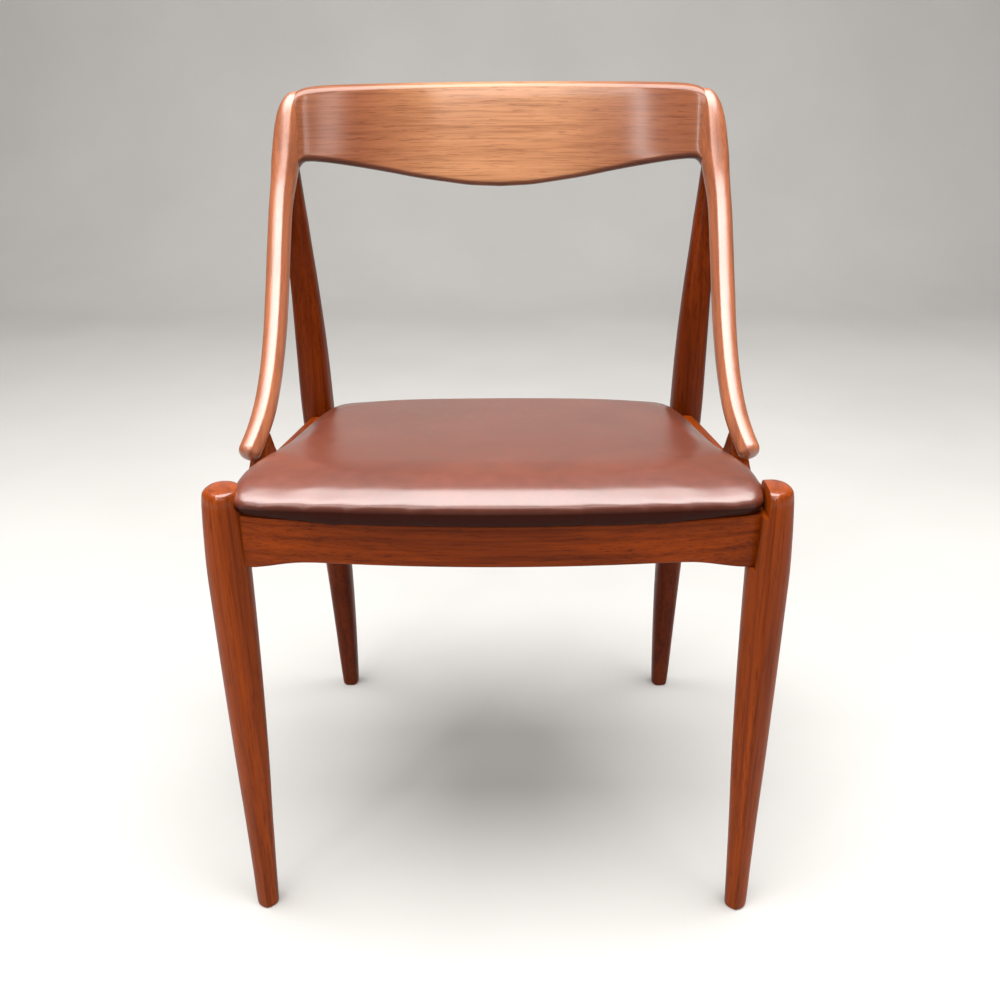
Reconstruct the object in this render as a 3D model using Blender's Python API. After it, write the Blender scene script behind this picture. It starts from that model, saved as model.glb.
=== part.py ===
"""Dining chair with a solid wood frame, sloping arms, a curved back and an upholstered seat pad.

Metres, +Z up, the chair's front faces -Y. Stations are given for the chair's right-hand half
(+X) with Y measured from the front legs, then mirrored and shifted by SHIFT_Y.
"""

import math

import bmesh
import bpy
from mathutils import Matrix, Vector

GAP = 0.0003            # clearance between mating pieces
SHIFT_Y = -0.1899       # puts the middle of the chair's depth at Y = 0
SIDES = (("left", -1.0), ("right", 1.0))

BACK_JOINT_X = 0.2073   # where the backrest's ends meet the arms
BACK_END_Y = 0.3400     # middle of the backrest's end
BACK_MID_Y = 0.3900     # middle of the backrest at the chair's centre line
BACK_LEAN = 0.20        # how far the backrest leans back for each metre of height
RAIL_JOINT_X = 0.2214   # where the front rail meets the front legs
RAIL_TOP = 0.4424       # top of the front rail
RAIL_BOW = 0.0200       # how far the front rail bows forwards
RAIL_THICK = 0.0180
RAIL_END_BOTTOM = 0.3925
SEAT_Z = 0.4430         # underside of the seat pad at the front legs
SEAT_FALL = 0.060       # fall of the seat for each metre of depth
BASE_THICK = 0.0080
PAD_THINNING = 1.50     # how much flatter the pad gets for each metre of depth
TURN_IN = 0.0180        # width of the cover turned in under the base
SIDE_JOINT_FRONT_Y, SIDE_JOINT_REAR_Y = 0.0185, 0.3120
REAR_JOINT_X, REAR_RAIL_Y, REAR_RAIL_THICK, REAR_RAIL_BOTTOM = 0.1977, 0.3225, 0.0180, 0.3720
DOWEL_R, DOWEL_FREE = 0.0030, 0.0002
SCREW_R, SCREW_HEAD_R = 0.0020, 0.0042
BLOCK_DROP = 0.0300     # height of the corner blocks

# (x, y, z, half width, half depth) from the foot to the top
FRONT_LEG = (
    (0.2403, 0.0020, 0.0000, 0.0095, 0.0095),
    (0.2403, 0.0020, 0.0030, 0.0105, 0.0105),
    (0.2386, 0.0020, 0.1050, 0.0130, 0.0138),
    (0.2372, 0.0020, 0.1900, 0.0160, 0.0170),
    (0.2357, 0.0020, 0.2950, 0.0184, 0.0198),
    (0.2352, 0.0025, 0.3750, 0.0206, 0.0215),
    (0.2343, 0.0030, 0.4200, 0.0190, 0.0215),
    (0.2330, 0.0030, 0.4540, 0.0162, 0.0205),
    (0.2330, 0.0030, 0.4610, 0.0140, 0.0180),
    (0.2330, 0.0030, 0.4650, 0.0090, 0.0120),
)
REAR_LEG = (
    (0.2146, 0.4010, 0.0000, 0.0092, 0.0092),
    (0.2146, 0.4010, 0.0030, 0.0102, 0.0102),
    (0.2138, 0.3950, 0.0460, 0.0120, 0.0122),
    (0.2120, 0.3810, 0.1270, 0.0142, 0.0148),
    (0.2108, 0.3660, 0.2020, 0.0157, 0.0168),
    (0.2108, 0.3450, 0.3000, 0.0170, 0.0188),
    (0.2114, 0.3290, 0.3800, 0.0177, 0.0200),
    (0.2116, 0.3220, 0.4330, 0.0177, 0.0198),
    (0.2122, 0.3205, 0.4900, 0.0170, 0.0182),
    (0.2157, 0.3250, 0.5730, 0.0145, 0.0160),
    (0.2192, 0.3310, 0.6160, 0.0132, 0.0150),
    (0.2208, 0.3342, 0.6400, 0.0124, 0.0145),
    (0.2230, 0.3380, 0.6600, 0.0115, 0.0138),
    (0.2240, 0.3400, 0.6900, 0.0100, 0.0115),
    (0.2240, 0.3400, 0.7150, 0.0070, 0.0060),
)
LEG_TOP_STATION = 11    # the rear leg ends here; the rest is the arm's stub
ARM = (
    (0.2110, 0.3475, 0.7712, 0.0030, 0.0022),
    (0.2110, 0.3472, 0.7690, 0.0070, 0.0052),
    (0.2110, 0.3462, 0.7640, 0.0125, 0.0076),
    (0.2110, 0.3440, 0.7540, 0.0180, 0.0092),
    (0.2110, 0.3410, 0.7400, 0.0222, 0.0104),
    (0.2110, 0.3380, 0.7220, 0.0252, 0.0118),
    (0.2150, 0.3330, 0.6990, 0.0235, 0.0140),
    (0.2256, 0.3220, 0.6790, 0.0140, 0.0148),
    (0.2272, 0.3050, 0.6590, 0.0128, 0.0136),
    (0.2274, 0.2760, 0.6220, 0.0124, 0.0126),
    (0.2267, 0.2430, 0.5810, 0.0120, 0.0122),
    (0.2252, 0.2030, 0.5400, 0.0113, 0.0118),
    (0.2248, 0.1650, 0.5080, 0.0109, 0.0112),
    (0.2262, 0.1350, 0.4870, 0.0108, 0.0108),
    (0.2295, 0.1140, 0.4740, 0.0104, 0.0104),
    (0.2335, 0.0990, 0.4645, 0.0099, 0.0099),
    (0.2345, 0.0958, 0.4622, 0.0089, 0.0089),
    (0.2352, 0.0935, 0.4606, 0.0068, 0.0068),
    (0.2356, 0.0923, 0.4598, 0.0036, 0.0036),
)
HEAD_STATIONS = 7       # stations of the arm that end flat against the backrest
# (y, outer x, thickness, bottom, rise over the seat's underside), rising to the arm's horn
SIDE_RAIL = (
    (SIDE_JOINT_FRONT_Y + GAP, 0.2390, 0.0200, 0.3985, -GAP),
    (0.0550, 0.2405, 0.0200, 0.3975, -GAP),
    (0.0950, 0.2405, 0.0200, 0.3965, -GAP),
    (0.1120, 0.2392, 0.0195, 0.3960, -GAP),
    (0.1190, 0.2380, 0.0190, 0.3957, 0.0090),
    (0.1270, 0.2330, 0.0150, 0.3953, 0.0250),
    (0.1360, 0.2325, 0.0145, 0.3948, 0.0420),
    (0.1450, 0.2318, 0.0140, 0.3943, 0.0490),
    (0.1540, 0.2315, 0.0145, 0.3938, 0.0240),
    (0.1640, 0.2310, 0.0175, 0.3934, 0.0050),
    (0.1750, 0.2285, 0.0215, 0.3928, -GAP),
    (0.2160, 0.2236, 0.0225, 0.3905, -GAP),
    (0.2600, 0.2187, 0.0225, 0.3882, -GAP),
    (SIDE_JOINT_REAR_Y - GAP, 0.2115, 0.0225, 0.3860, -GAP),
)
# half plan of the seat pad (x, y), from the middle of its front edge to the middle of its rear edge
PAD_PLAN = (
    (0.0000, -0.0325), (0.0800, -0.0298), (0.1500, -0.0231), (0.2020, -0.0152), (0.2160, -0.0095),
    (0.2203, 0.0040), (0.2206, 0.0260), (0.2240, 0.0380), (0.2255, 0.0650), (0.2235, 0.1000),
    (0.2160, 0.1330), (0.2105, 0.1850), (0.2045, 0.2350), (0.1965, 0.2800), (0.1890, 0.3000),
    (0.1740, 0.3130), (0.0900, 0.3215), (0.0000, 0.3250),
)
# (x, bottom, top) of the backrest's front view
BACKREST = (
    (0.0000, 0.6665, 0.7732),
    (0.0450, 0.6695, 0.7732),
    (0.0900, 0.6775, 0.7730),
    (0.1300, 0.6850, 0.7728),
    (0.1650, 0.6920, 0.7725),
    (0.1900, 0.6965, 0.7722),
    (BACK_JOINT_X - GAP, 0.6990, 0.7715),
)
BACK_THICK_MID, BACK_THICK_END = 0.0150, 0.0195


def clear_scene():
    for obj in list(bpy.data.objects):
        bpy.data.objects.remove(obj, do_unlink=True)


def collection(name):
    made = bpy.data.collections.new(name)
    bpy.context.scene.collection.children.link(made)
    return made


def material(name, colour, roughness, metallic=0.0):
    made = bpy.data.materials.new(name)
    made.use_nodes = True
    shader = made.node_tree.nodes["Principled BSDF"]
    shader.inputs["Base Color"].default_value = (*colour, 1.0)
    shader.inputs["Roughness"].default_value = roughness
    shader.inputs["Metallic"].default_value = metallic
    return made


def finish_object(name, mesh_data, kind):
    """Adds the mesh as a node of the chair with its own material."""
    obj = bpy.data.objects.new(name, mesh_data)
    colour, roughness, metallic = LOOKS[kind]
    obj.data.materials.clear()
    obj.data.materials.append(material(name + "_material", colour, roughness, metallic))
    CHAIR.objects.link(obj)
    return obj


def helper_object(name, mesh_data):
    """Adds the mesh as a cutter, which no render shows."""
    obj = bpy.data.objects.new(name, mesh_data)
    obj.hide_render = True
    obj.display_type = "WIRE"
    CUTTERS.objects.link(obj)
    return obj


LOOKS = {
    "teak": ((0.42, 0.16, 0.045), 0.38, 0.0),
    "beech": ((0.62, 0.42, 0.24), 0.6, 0.0),
    "plywood": ((0.55, 0.37, 0.2), 0.7, 0.0),
    "foam": ((0.8, 0.72, 0.5), 0.95, 0.0),
    "leather": ((0.13, 0.035, 0.025), 0.32, 0.0),
    "cloth": ((0.03, 0.03, 0.03), 0.9, 0.0),
    "steel": ((0.6, 0.6, 0.58), 0.35, 1.0),
}


def superellipse(count, power):
    """Unit section with its first point on +X, counter-clockwise."""
    ring = []
    for k in range(count):
        c, s = math.cos(2 * math.pi * k / count), math.sin(2 * math.pi * k / count)
        ring.append((math.copysign(abs(c) ** (2 / power), c), math.copysign(abs(s) ** (2 / power), s)))
    return ring


def skin(rings, name):
    """Closed mesh through rings of points with equal counts, with flat ends."""
    work = bmesh.new()
    rows = [[work.verts.new(p) for p in ring] for ring in rings]
    count = len(rows[0])
    for lower, upper in zip(rows, rows[1:]):
        for k in range(count):
            j = (k + 1) % count
            work.faces.new((lower[k], lower[j], upper[j], upper[k]))
    work.faces.new(list(reversed(rows[0])))
    work.faces.new(rows[-1])
    bmesh.ops.recalc_face_normals(work, faces=work.faces)
    bmesh.ops.triangulate(work, faces=work.faces)
    made = bpy.data.meshes.new(name)
    work.to_mesh(made)
    work.free()
    return made


def spine_rings(stations, count, power, side=1.0, grow=0.0, flat_x=None, flat_stations=0):
    """Rings square to the spine. The first flat_stations rings are horizontal and stop at flat_x."""
    points = [Vector((x, y + SHIFT_Y, z)) for x, y, z, _, _ in stations]
    ring = superellipse(count, power)
    rings = []
    for i, (_, _, _, half_x, half_y) in enumerate(stations):
        ahead = points[min(i + 1, len(points) - 1)] - points[max(i - 1, 0)]
        if i < flat_stations or i in (0, len(points) - 1) and abs(ahead.normalized().z) > 0.9:
            ahead = Vector((0.0, 0.0, math.copysign(1.0, ahead.z)))
        across = (Vector((1.0, 0.0, 0.0)) - ahead.normalized() * ahead.normalized().x).normalized()
        deep = ahead.normalized().cross(across)
        placed = []
        for u, v in ring:
            p = points[i] + across * u * (half_x + grow) + deep * v * (half_y + grow)
            if i < flat_stations:
                p.x = max(p.x, flat_x)
            placed.append(Vector((p.x * side, p.y, p.z)))
        rings.append(placed)
    return rings


def boolean(obj, other, operation="DIFFERENCE"):
    modifier = obj.modifiers.new(other.name, "BOOLEAN")
    modifier.operation = operation
    modifier.solver = "EXACT"
    modifier.object = other


def block(name, low, high):
    """Axis-aligned box between two corners."""
    made = bpy.data.meshes.new(name)
    work = bmesh.new()
    bmesh.ops.create_cube(work, size=1.0)
    for vert in work.verts:
        vert.co = [low[k] + (vert.co[k] + 0.5) * (high[k] - low[k]) for k in range(3)]
    work.to_mesh(made)
    work.free()
    return made


def rod(name, start, end, radius, count=8):
    """Cylinder from start to end."""
    start, end = Vector(start), Vector(end)
    made = bpy.data.meshes.new(name)
    work = bmesh.new()
    bmesh.ops.create_cone(work, cap_ends=True, segments=count, radius1=radius, radius2=radius,
                          depth=(end - start).length)
    turn = (end - start).to_track_quat("Z", "Y").to_matrix().to_4x4()
    bmesh.ops.transform(work, verts=work.verts, matrix=Matrix.Translation((start + end) / 2) @ turn)
    work.to_mesh(made)
    work.free()
    return made


def dowel(name, middle, direction, length, mates):
    """A dowel and its holes in the pieces it joins. Y is measured from the front legs."""
    middle = Vector(middle) + Vector((0.0, SHIFT_Y, 0.0))
    half = Vector(direction).normalized() * length / 2
    finish_object(name, rod(name, middle - half, middle + half, DOWEL_R), "beech")
    hole = rod(name + "_hole", middle - half * 1.06, middle + half * 1.06, DOWEL_R + DOWEL_FREE)
    cutter = helper_object(name + "_hole", hole)
    for mate in mates:
        boolean(mate, cutter)


def turned(name, start, turn, profile, grow=0.0):
    """Closed mesh turned about an axis from (depth, radius) pairs."""
    rings = []
    for depth, radius in profile:
        rings.append([start + turn @ Vector((
            (radius + grow) * math.cos(math.pi * k / 4), (radius + grow) * math.sin(math.pi * k / 4),
            depth)) for k in range(8)])
    return skin(rings, name)


def screw(name, head, along, length, mates):
    """A countersunk screw, head first, and its holes. Y is measured from the front legs."""
    start = Vector(head) + Vector((0.0, SHIFT_Y, 0.0))
    turn = Vector(along).normalized().to_track_quat("Z", "Y").to_matrix()
    profile = ((0.0, SCREW_HEAD_R), (0.0022, SCREW_R), (length - 0.004, SCREW_R), (length, 0.0006))
    finish_object(name, turned(name, start, turn, profile), "steel")
    hole = ((-0.0120, SCREW_HEAD_R), (0.0, SCREW_HEAD_R), (0.0022, SCREW_R), (length + 0.001, SCREW_R))
    cutter = helper_object(name + "_hole", turned(name + "_hole", start, turn, hole, GAP))
    for mate in mates:
        boolean(mate, cutter)


def front_rail_face(x):
    """Y of the front rail's face at x, without SHIFT_Y."""
    return -0.0050 - RAIL_BOW * (1.0 - (x / RAIL_JOINT_X) ** 2)


def seat_underside(y):
    return SEAT_Z - SEAT_FALL * y


def side_block(name, side, low, high):
    """Box cutter given for the right-hand half, with Y measured from the front legs."""
    low, high = (low[0], low[1] + SHIFT_Y, low[2]), (high[0], high[1] + SHIFT_Y, high[2])
    if side < 0:
        low, high = (-high[0], low[1], low[2]), (-low[0], high[1], high[2])
    return helper_object(name, block(name, low, high))


def front_leg(side_name, side):
    name = "front_leg_" + side_name
    leg = finish_object(name, skin(spine_rings(FRONT_LEG, 12, 2.6, side), name), "teak")
    boolean(leg, side_block(name + "_rail_notch", side, (0.15, -0.04, RAIL_END_BOTTOM - GAP),
                            (RAIL_JOINT_X, 0.05, 0.50)))
    boolean(leg, side_block(name + "_side_notch", side, (0.20, SIDE_JOINT_FRONT_Y, 0.3982),
                            (0.2393, 0.05, seat_underside(SIDE_JOINT_FRONT_Y))))
    return leg


def rear_leg(side_name, side):
    name = "rear_leg_" + side_name
    rings = spine_rings(REAR_LEG, 12, 2.5, side)[:LEG_TOP_STATION + 1]
    leg = finish_object(name, skin(rings, name), "teak")
    boolean(leg, side_block(name + "_side_notch", side, (0.1887, 0.28, 0.3857),
                            (0.2135, SIDE_JOINT_REAR_Y, seat_underside(0.2950))))
    half = REAR_RAIL_THICK / 2 + GAP
    boolean(leg, side_block(name + "_rear_notch", side,
                            (0.15, REAR_RAIL_Y - half, REAR_RAIL_BOTTOM - GAP),
                            (REAR_JOINT_X, REAR_RAIL_Y + half, seat_underside(REAR_RAIL_Y))))
    return leg


def arm(side_name, side):
    """Arm, with the stub that continues the rear leg up into its head."""
    name = "arm_" + side_name
    flat = BACK_JOINT_X + GAP
    rings = spine_rings(ARM, 12, 2.2, side, flat_x=flat, flat_stations=HEAD_STATIONS)
    made = finish_object(name, skin(rings, name), "teak")
    stub_rings = spine_rings(REAR_LEG, 12, 2.5, side)[LEG_TOP_STATION:]
    lowest = [p + (stub_rings[1][k] - p) * 0.015 for k, p in enumerate(stub_rings[0])]
    stub = helper_object(name + "_stub", skin([lowest] + stub_rings[1:], name + "_stub"))
    boolean(made, stub, "UNION")
    return made


def side_rail(side_name, side):
    """Rail with a horn, whose top is shaped to the underside of the arm."""
    name = "side_rail_" + side_name
    rings = []
    for y, outer, thick, bottom, rise in SIDE_RAIL:
        top = seat_underside(y) + rise
        middle, height = (top + bottom) / 2, top - bottom
        rings.append([Vector((side * (outer - thick / 2 + u * thick / 2), y + SHIFT_Y,
                              middle + v * height / 2)) for u, v in superellipse(12, 6.0)])
    rail = finish_object(name, skin(rings, name), "teak")
    clearance = skin(spine_rings(ARM[8:], 12, 2.2, side, grow=GAP), name + "_arm_space")
    boolean(rail, helper_object(name + "_arm_space", clearance))
    return rail


def front_rail():
    """Rail bowed forwards, with a lower edge arched between two shoulders."""
    rings = []
    ends = RAIL_JOINT_X - GAP
    for x, bottom in ((ends, RAIL_END_BOTTOM), (0.2000, 0.3950), (0.1800, 0.3990), (0.1600, 0.4018),
                      (0.1000, 0.4022), (0.0, 0.4024)):
        middle = front_rail_face(x) + SHIFT_Y + RAIL_THICK / 2
        rings.append([Vector((x, middle + v * RAIL_THICK / 2,
                              (RAIL_TOP + bottom) / 2 + u * (RAIL_TOP - bottom) / 2))
                      for u, v in superellipse(12, 8.0)])
    mirrored = [[Vector((-p.x, p.y, p.z)) for p in ring] for ring in reversed(rings[:-1])]
    return finish_object("front_rail", skin(rings + mirrored, "front_rail"), "teak")


def rear_rail():
    """Straight rail between the rear legs, under the back of the seat."""
    top = seat_underside(REAR_RAIL_Y + REAR_RAIL_THICK / 2) - GAP
    low, ends = REAR_RAIL_BOTTOM, REAR_JOINT_X - GAP
    rings = [[Vector((x, REAR_RAIL_Y + SHIFT_Y + v * REAR_RAIL_THICK / 2,
                      (top + low) / 2 + u * (top - low) / 2)) for u, v in superellipse(12, 8.0)]
             for x in (-ends, ends)]
    return finish_object("rear_rail", skin(rings, "rear_rail"), "teak")


def backrest():
    """Curved plank, hollow towards the sitter, with a bellied lower edge."""
    rings = []
    for x, bottom, top in BACKREST:
        share = (x / BACK_JOINT_X) ** 2
        thick = BACK_THICK_MID + (BACK_THICK_END - BACK_THICK_MID) * share ** 3
        middle_z, half = (top + bottom) / 2, (top - bottom) / 2
        middle_y = BACK_MID_Y + (BACK_END_Y - BACK_MID_Y) * share
        rings.append([Vector((x, middle_y + SHIFT_Y + v * thick / 2 + BACK_LEAN * u * half,
                              middle_z + u * half)) for u, v in superellipse(12, 3.4)])
    mirrored = [[Vector((-p.x, p.y, p.z)) for p in ring] for ring in rings[1:]]
    return finish_object("backrest", skin(list(reversed(mirrored)) + rings, "backrest"), "teak")


def pad_outline(inset):
    """The pad's plan as a closed loop, drawn in towards its middle by inset at the sides and ends."""
    loop = list(PAD_PLAN) + [(-x, y) for x, y in reversed(PAD_PLAN[1:-1])]
    front, rear = PAD_PLAN[0][1], PAD_PLAN[-1][1]
    middle, half_y, half_x = (front + rear) / 2, (rear - front) / 2, max(x for x, _ in PAD_PLAN)
    return [(x * (1 - inset / half_x), middle + (y - middle) * (1 - inset / half_y)) for x, y in loop]


def pad_slab(name, levels):
    """Slab on the seat's slope. Each level is (height above the underside, inset)."""
    rings = []
    for rise, inset in levels:
        ring = []
        for x, y in pad_outline(inset):
            soft = max(rise - BASE_THICK, 0.0)
            height = rise - soft + soft * (1.0 - PAD_THINNING * max(y, 0.0))
            ring.append(Vector((x, y + SHIFT_Y, seat_underside(y) + height)))
        rings.append(ring)
    return skin(rings, name)


def seat():
    """Base, foam, the cover that turns in under the base, and the dust cover."""
    foam_low = BASE_THICK + GAP
    base = finish_object("seat_base", pad_slab("seat_base", ((0.0017, 0.0075), (BASE_THICK, 0.0075))),
                         "plywood")
    foam = ((foam_low, 0.0075), (0.0180, 0.0035), (0.0255, 0.0060), (0.0310, 0.0130), (0.0335, 0.0300),
            (0.0352, 0.0600))
    finish_object("seat_foam", pad_slab("seat_foam", foam), "foam")
    outer = ((0.0, 0.0085), (0.0030, 0.0055), (0.0180, 0.0010), (0.0265, 0.0038), (0.0326, 0.0118),
             (0.0353, 0.0295), (0.0370, 0.0595))
    inner = ((0.0014, 0.0072), (foam_low, 0.0072), (0.0180, 0.0032), (0.0257, 0.0057),
             (0.0313, 0.0128), (0.0338, 0.0297), (0.0355, 0.0597))
    cover = finish_object("seat_cover", pad_slab("seat_cover", outer), "leather")
    boolean(cover, helper_object("seat_inside", pad_slab("seat_inside", inner)))
    opening = pad_slab("seat_opening", ((-0.010, TURN_IN), (0.004, TURN_IN)))
    boolean(cover, helper_object("seat_opening", opening))
    dust = finish_object("seat_dust_cover", pad_slab("seat_dust_cover", (
        (0.0003, TURN_IN + GAP), (0.0014, TURN_IN + GAP))), "cloth")
    return base, dust


def corner_block(row, side_name, side):
    name = "corner_block_" + row + "_" + side_name
    plan = {
        "front": ((0.2182, 0.0150), (0.1600, 0.0052), (0.2188, 0.0680)),
        "rear": ((0.1882, 0.3120), (0.1440, 0.3120), (0.1950, 0.2600)),
    }[row]
    rings = []
    for rise in (-BLOCK_DROP, -2 * GAP):
        rings.append([Vector((side * x, y + SHIFT_Y, seat_underside(y) + rise)) for x, y in plan])
    return finish_object(name, skin(rings, name), "beech")


def side_fixings(side_name, side, piece):
    """Dowels and screws of one half of the chair. piece holds the pieces by name."""
    leg, rear, rail, arm_piece = (piece[k] for k in ("front_leg", "rear_leg", "side_rail", "arm"))
    for end, z in (("lower", 0.4060), ("upper", 0.4265)):
        dowel(f"dowel_front_rail_{end}_{side_name}", (side * RAIL_JOINT_X, 0.0040, z), (1, 0, 0), 0.030,
              (leg, piece["front_rail"]))
    for end, z in (("lower", 0.4100), ("upper", 0.4300)):
        dowel(f"dowel_side_front_{end}_{side_name}", (side * 0.2300, 0.0187, z), (0, 1, 0), 0.017,
              (leg, rail))
    for end, z in (("lower", 0.3960), ("upper", 0.4155)):
        dowel(f"dowel_side_rear_{end}_{side_name}", (side * 0.2030, SIDE_JOINT_REAR_Y, z), (0, 1, 0),
              0.022, (rear, rail))
    for end, z in (("lower", 0.3840), ("upper", 0.4060)):
        dowel(f"dowel_rear_rail_{end}_{side_name}", (side * REAR_JOINT_X, REAR_RAIL_Y + 0.003, z),
              (1, 0, 0), 0.020, (rear, piece["rear_rail"]))
    dowel(f"dowel_arm_{side_name}", (side * 0.2255, 0.1462, 0.4817), (0, 0.574, -0.819), 0.022,
          (arm_piece, rail))
    top = REAR_LEG[LEG_TOP_STATION]
    dowel(f"dowel_leg_top_{side_name}", (side * top[0], top[1], top[2]), (side * 0.09, 0.14, 1.0), 0.030,
          (arm_piece, rear))
    for end, z in (("lower", 0.7200), ("upper", 0.7500)):
        dowel(f"dowel_backrest_{end}_{side_name}",
              (side * BACK_JOINT_X, BACK_END_Y + BACK_LEAN * (z - 0.7352), z), (1, 0, 0), 0.026,
              (arm_piece, piece["backrest"]))
    for row, plan in (("front", (((0.1900, 0.0270), (0, -1), "front_rail", 0.0060),
                                 ((0.2035, 0.0440), (1, 0), "side_rail", 0.0100))),
                      ("rear", (((0.1670, 0.2950), (0, 1), "rear_rail", 0.0060),
                                ((0.1765, 0.2850), (1, 0), "side_rail", 0.0100)))):
        block_piece = piece["corner_block_" + row]
        for i, ((x, y), (ux, uy), rail_name, drop) in enumerate(plan):
            z = seat_underside(y) - drop - 0.006
            screw(f"block_screw_{row}_{i + 1}_{side_name}", (side * x, y, z), (side * ux, uy, 0), 0.0260,
                  (block_piece, piece[rail_name]))
        x, y = (0.2030, 0.0250) if row == "front" else (0.1820, 0.3010)
        screw(f"seat_screw_{row}_{side_name}", (side * x, y, seat_underside(y) - BLOCK_DROP + 0.001),
              (0, 0, 1), 0.0350, (block_piece, piece["seat_base"], piece["seat_dust_cover"],
                                  piece["seat_cover"]))


def main():
    shared = {"front_rail": front_rail(), "rear_rail": rear_rail(), "backrest": backrest()}
    shared["seat_base"], shared["seat_dust_cover"] = seat()
    shared["seat_cover"] = bpy.data.objects["seat_cover"]
    for side_name, side in SIDES:
        piece = dict(shared)
        piece["front_leg"] = front_leg(side_name, side)
        piece["rear_leg"] = rear_leg(side_name, side)
        piece["arm"] = arm(side_name, side)
        piece["side_rail"] = side_rail(side_name, side)
        for row in ("front", "rear"):
            piece["corner_block_" + row] = corner_block(row, side_name, side)
        side_fixings(side_name, side, piece)


clear_scene()
CHAIR = collection("dining_chair")
CUTTERS = collection("cutters")
main()
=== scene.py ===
"""Looks of the dining chair: sculpted wood, upholstered seat, materials, light and camera."""

import math

import bmesh
import bpy
import numpy as np
from mathutils import Matrix, Vector


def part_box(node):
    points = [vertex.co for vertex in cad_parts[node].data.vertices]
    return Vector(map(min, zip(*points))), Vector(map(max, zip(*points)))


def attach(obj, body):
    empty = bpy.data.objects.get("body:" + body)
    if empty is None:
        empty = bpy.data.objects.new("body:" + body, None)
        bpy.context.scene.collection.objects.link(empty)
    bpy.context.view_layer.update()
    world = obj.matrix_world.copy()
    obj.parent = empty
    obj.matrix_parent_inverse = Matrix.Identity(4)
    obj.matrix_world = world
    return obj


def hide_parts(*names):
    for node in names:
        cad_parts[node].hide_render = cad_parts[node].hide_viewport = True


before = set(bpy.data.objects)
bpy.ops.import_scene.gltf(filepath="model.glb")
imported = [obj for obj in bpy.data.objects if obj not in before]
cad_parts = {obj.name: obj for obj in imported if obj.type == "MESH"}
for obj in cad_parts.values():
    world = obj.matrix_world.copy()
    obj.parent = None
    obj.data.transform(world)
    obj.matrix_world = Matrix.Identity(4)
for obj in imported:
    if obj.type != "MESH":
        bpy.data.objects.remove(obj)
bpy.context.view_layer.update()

SHIFT_Y = -0.1899       # the CAD measures Y from the front legs before this shift
SIDES = (("left", -1.0), ("right", 1.0))
RAIL_JOINT_X = 0.2234   # where the front rail meets the leg, at half its height
RAIL_JOINT_SLOPE = 0.05
CHEEK_X = 0.2276        # inner face of the front leg above the rail
RAIL_TOP, RAIL_END_BOTTOM = 0.4424, 0.3925
RAIL_FACE_END_Y, RAIL_BOW, RAIL_THICK = -0.0050, 0.0200, 0.0180
SEAT_Z, SEAT_FALL = 0.4430, 0.060   # the seat's underside at the front legs, and its fall rearwards
BACK_JOINT_X = 0.2073
BACK_END_Y, BACK_MID_Y, BACK_LEAN = 0.3400, 0.3900, 0.20
BACK_JOINT_Z = 0.7352   # where the backrest's middle plane is at BACK_END_Y

# (x, y, z, half width, half depth) along each right-hand piece's spine
FRONT_LEG = (
    (0.2403, 0.0020, 0.0000, 0.0090, 0.0090),
    (0.2403, 0.0020, 0.0012, 0.0101, 0.0101),
    (0.2403, 0.0020, 0.0035, 0.0106, 0.0106),
    (0.2395, 0.0020, 0.0500, 0.0117, 0.0121),
    (0.2386, 0.0020, 0.1050, 0.0131, 0.0138),
    (0.2372, 0.0020, 0.1900, 0.0158, 0.0170),
    (0.2360, 0.0020, 0.2950, 0.0180, 0.0198),
    (0.2357, 0.0025, 0.3500, 0.0187, 0.0209),
    (0.2356, 0.0030, 0.3880, 0.0190, 0.0214),
    (0.2346, 0.0030, 0.4248, 0.0185, 0.0212),
    (0.2341, 0.0030, 0.4460, 0.0176, 0.0206),
    (0.2340, 0.0030, 0.4560, 0.0169, 0.0200),
    (0.2340, 0.0030, 0.4612, 0.0160, 0.0190),
    (0.2340, 0.0030, 0.4640, 0.0144, 0.0172),
    (0.2340, 0.0030, 0.4654, 0.0119, 0.0144),
    (0.2340, 0.0030, 0.4661, 0.0082, 0.0100),
    (0.2340, 0.0030, 0.4663, 0.0030, 0.0037),
)
REAR_LEG = (
    (0.2146, 0.4010, 0.0000, 0.0086, 0.0086),
    (0.2146, 0.4010, 0.0012, 0.0097, 0.0097),
    (0.2146, 0.4010, 0.0035, 0.0103, 0.0103),
    (0.2138, 0.3950, 0.0460, 0.0120, 0.0122),
    (0.2120, 0.3810, 0.1270, 0.0142, 0.0148),
    (0.2108, 0.3660, 0.2020, 0.0157, 0.0168),
    (0.2108, 0.3450, 0.3000, 0.0170, 0.0188),
    (0.2114, 0.3290, 0.3800, 0.0177, 0.0200),
    (0.2116, 0.3220, 0.4330, 0.0177, 0.0198),
    (0.2122, 0.3205, 0.4900, 0.0170, 0.0182),
    (0.2157, 0.3250, 0.5730, 0.0145, 0.0160),
    (0.2192, 0.3310, 0.6160, 0.0132, 0.0150),
    (0.2208, 0.3342, 0.6400, 0.0124, 0.0145),
)
ARM_STUB = (
    (0.2207, 0.3339, 0.6380, 0.01245, 0.01452),
    (0.2225, 0.3372, 0.6600, 0.0116, 0.0138),
    (0.2235, 0.3392, 0.6800, 0.0106, 0.0125),
    (0.2238, 0.3400, 0.7000, 0.0090, 0.0100),
    (0.2238, 0.3400, 0.7150, 0.0060, 0.0060),
)
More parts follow.
